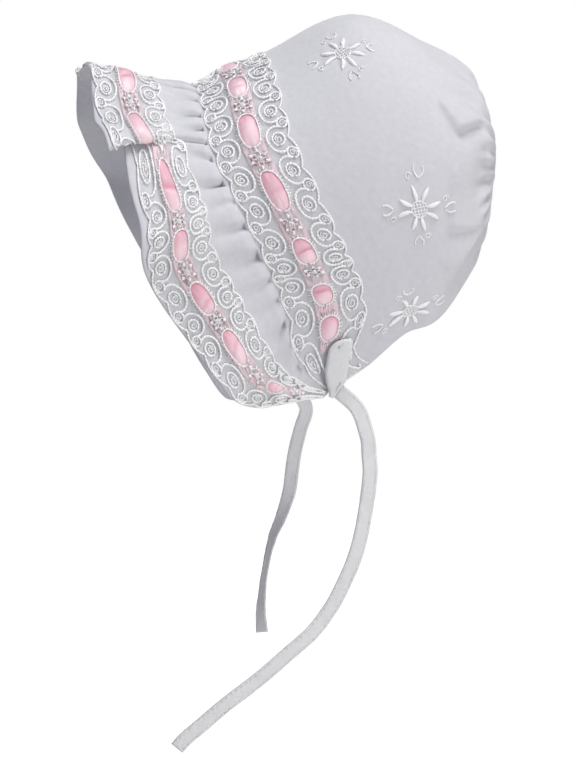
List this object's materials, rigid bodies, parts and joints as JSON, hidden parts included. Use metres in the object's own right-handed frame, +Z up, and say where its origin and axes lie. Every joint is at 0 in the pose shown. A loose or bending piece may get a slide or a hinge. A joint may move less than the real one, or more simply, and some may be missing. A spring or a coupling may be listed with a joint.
{
  "type": "baby bonnet",
  "caption": "White cloth baby bonnet with a rounded crown, a fluted brim, lace bands threaded with pink satin ribbon, and two ties.",
  "frame": {"origin": "the place inside the top of the crown where the head touches it", "axes": "+Z up, the face looks to -Y, the wearer's left is +X"},
  "size_m": [0.1494, 0.1894, 0.3292],
  "materials": {
    "white_cloth": "matte plain weave",
    "white_lace": "embroidered sheer net",
    "pink_satin": "glossy satin",
    "tie_cloth": "matte plain weave"
  },
  "bodies": {
    "root": {"crown": "white_cloth", "back_panel": "white_cloth", "brim": "white_cloth", "front_lace": "white_lace", "front_ribbon": "pink_satin", "brim_lace": "white_lace", "brim_ribbon": "pink_satin", "tie_tab_left": "tie_cloth", "tie_tab_right": "tie_cloth", "tie_left": "tie_cloth", "tie_right": "tie_cloth"}
  },
  "joints": []
}
